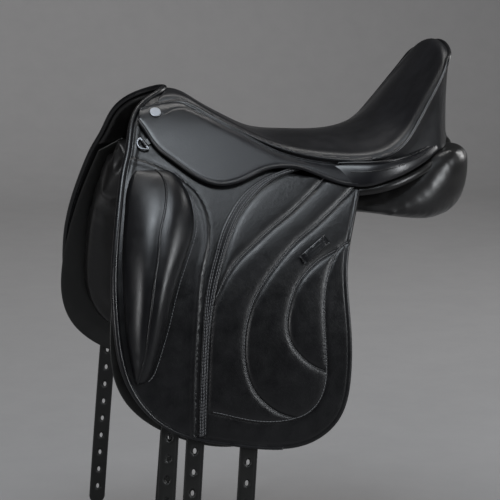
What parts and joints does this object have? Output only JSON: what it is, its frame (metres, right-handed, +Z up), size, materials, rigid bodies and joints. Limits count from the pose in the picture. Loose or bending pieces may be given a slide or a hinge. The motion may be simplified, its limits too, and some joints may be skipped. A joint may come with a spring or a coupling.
{
  "type": "english saddle",
  "caption": "Black leather dressage saddle with a deep seat, long quilted flaps, outside knee blocks, stirrup bars and punched girth straps.",
  "frame": {"origin": "on the centre plane, 92 mm under the deepest point of the seat, level with the underside of the panels beside the channel", "axes": "-X towards the horse's head, -Y the near (left) side, +Z up"},
  "size_m": [0.5437, 0.492, 0.7924],
  "materials": {
    "seat_leather": "satin smooth grain",
    "skirt_leather": "satin smooth grain",
    "flap_leather": "satin fine grain",
    "block_leather": "satin smooth grain",
    "trim_leather": "satin",
    "panel_leather": "soft matt grain",
    "strap_leather": "waxed",
    "foam": "open-cell foam",
    "felt": "matt",
    "webbing": "woven",
    "laminated_wood": "lacquered laminate",
    "steel": "brushed",
    "nickel": "polished"
  },
  "bodies": {
    "root": {"cantle_binding": "trim_leather", "cantle_facing": "trim_leather", "head_lining": "felt", "head_plate": "steel", "seat_cover": "seat_leather", "seat_foam": "foam", "seat_piping": "trim_leather", "seat_webs": "webbing", "tree": "laminated_wood", "near_bar_rivets": "steel", "near_cantle_skirt": "skirt_leather", "near_catch_pin": "steel", "near_d_ring_tab": "trim_leather", "near_flap_top": "flap_leather", "near_girth_web": "webbing", "near_panel": "panel_leather", "near_skirt": "skirt_leather", "near_skirt_button": "nickel", "near_stirrup_bar": "steel", "near_strap_tops": "strap_leather", "near_sweat_flap": "panel_leather", "off_bar_rivets": "steel", "off_cantle_skirt": "skirt_leather", "off_catch_pin": "steel", "off_d_ring_tab": "trim_leather", "off_flap_top": "flap_leather", "off_girth_web": "webbing", "off_panel": "panel_leather", "off_skirt": "skirt_leather", "off_skirt_button": "nickel", "off_stirrup_bar": "steel", "off_strap_tops": "strap_leather", "off_sweat_flap": "panel_leather"},
    "near_flap": {"near_flap": "flap_leather", "near_flap_strip": "trim_leather", "near_knee_block": "block_leather", "near_keeper": "trim_leather"},
    "near_skirt_lobe": {"near_skirt_lobe": "skirt_leather"},
    "near_bar_catch": {"near_bar_catch": "steel"},
    "near_d_ring": {"near_d_ring": "nickel"},
    "near_front_strap": {"near_front_strap": "strap_leather"},
    "near_middle_strap": {"near_middle_strap": "strap_leather"},
    "near_rear_strap": {"near_rear_strap": "strap_leather"},
    "off_flap": {"off_flap": "flap_leather", "off_flap_strip": "trim_leather", "off_knee_block": "block_leather", "off_keeper": "trim_leather"},
    "off_skirt_lobe": {"off_skirt_lobe": "skirt_leather"},
    "off_bar_catch": {"off_bar_catch": "steel"},
    "off_d_ring": {"off_d_ring": "nickel"},
    "off_front_strap": {"off_front_strap": "strap_leather"},
    "off_rear_strap": {"off_rear_strap": "strap_leather"}
  },
  "joints": [
    {"name": "near_flap_fold", "type": "hinge", "parent": "root", "child": "near_flap", "pos_m": [-0.263, -0.12004, 0.06286], "axis": [-0.9632, 0.1557, 0.2191], "range_deg": [0, 70]},
    {"name": "off_flap_fold", "type": "hinge", "parent": "root", "child": "off_flap", "pos_m": [-0.263, 0.12004, 0.06286], "axis": [0.9632, 0.1557, -0.2191], "range_deg": [0, 70]},
    {"name": "near_skirt_fold", "type": "hinge", "parent": "root", "child": "near_skirt_lobe", "pos_m": [-0.236, -0.08576, 0.11256], "axis": [-0.947, 0.2044, 0.2477], "range_deg": [0, 110]},
    {"name": "off_skirt_fold", "type": "hinge", "parent": "root", "child": "off_skirt_lobe", "pos_m": [-0.236, 0.08576, 0.11256], "axis": [0.947, 0.2044, -0.2477], "range_deg": [0, 110]},
    {"name": "near_bar_catch", "type": "hinge", "parent": "root", "child": "near_bar_catch", "pos_m": [-0.092, -0.10349, 0.06999], "axis": [0, -0.7776, 0.6287], "range_deg": [0, 80]},
    {"name": "off_bar_catch", "type": "hinge", "parent": "root", "child": "off_bar_catch", "pos_m": [-0.092, 0.10349, 0.06999], "axis": [0, -0.7776, -0.6287], "range_deg": [0, 80]},
    {"name": "near_d_ring_swing", "type": "hinge", "parent": "root", "child": "near_d_ring", "pos_m": [-0.2305, -0.09738, 0.09091], "axis": [-0.4829, 0.5585, 0.6745], "range_deg": [0, 95]},
    {"name": "off_d_ring_swing", "type": "hinge", "parent": "root", "child": "off_d_ring", "pos_m": [-0.2305, 0.09738, 0.09091], "axis": [0.4829, 0.5585, -0.6745], "range_deg": [0, 95]},
    {"name": "near_front_strap_swing", "type": "hinge", "parent": "root", "child": "near_front_strap", "pos_m": [-0.22445, -0.23328, -0.2916], "axis": [-1, 0, 0], "range_deg": [-60, 75]},
    {"name": "off_front_strap_swing", "type": "hinge", "parent": "root", "child": "off_front_strap", "pos_m": [-0.22445, 0.23328, -0.2916], "axis": [1, 0, 0], "range_deg": [-60, 75]},
    {"name": "near_middle_strap_swing", "type": "hinge", "parent": "root", "child": "near_middle_strap", "pos_m": [-0.19088, -0.2348, -0.3121], "axis": [-1, 0, 0], "range_deg": [-60, 75]},
    {"name": "near_rear_strap_swing", "type": "hinge", "parent": "root", "child": "near_rear_strap", "pos_m": [-0.11888, -0.23612, -0.3321], "axis": [-1, 0, 0], "range_deg": [-60, 75]},
    {"name": "off_rear_strap_swing", "type": "hinge", "parent": "root", "child": "off_rear_strap", "pos_m": [-0.11888, 0.23612, -0.3321], "axis": [1, 0, 0], "range_deg": [-60, 75]}
  ]
}
